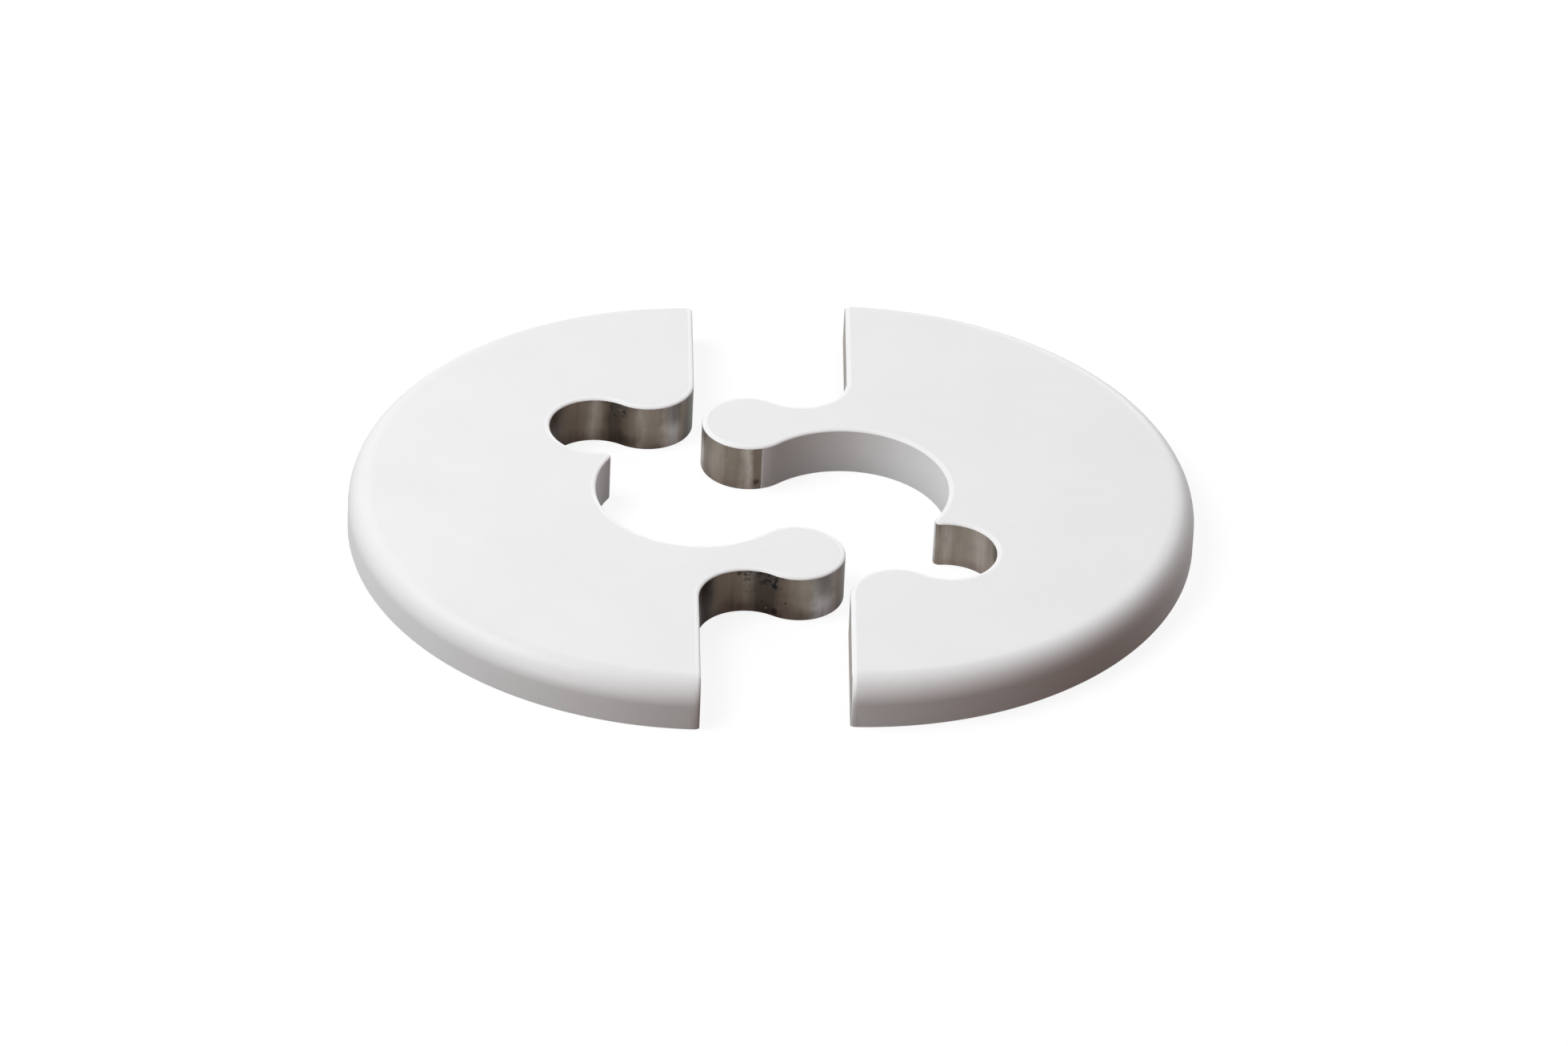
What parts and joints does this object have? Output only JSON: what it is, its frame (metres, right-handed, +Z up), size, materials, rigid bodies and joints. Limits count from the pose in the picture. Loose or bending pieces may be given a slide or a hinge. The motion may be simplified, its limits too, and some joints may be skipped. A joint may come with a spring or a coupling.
{
  "type": "pipe rosette",
  "caption": "Split round cover plate for a pipe: like half discs with a rounded rim, a pipe notch and jigsaw tabs that clip into each other, lying drawn apart.",
  "frame": {"origin": "on the surface that the halves lie on, midway between them", "axes": "+Z up out of the face, +X across the parting line from the left half to the right half, +Y along it"},
  "size_m": [0.067, 0.0558, 0.004],
  "materials": {
    "white_paint": "satin white powder coat on the face, rim and bore; bare steel on the jigsaw cut"
  },
  "bodies": {
    "root": {"left_half": "white_paint", "right_half": "white_paint"}
  },
  "joints": []
}
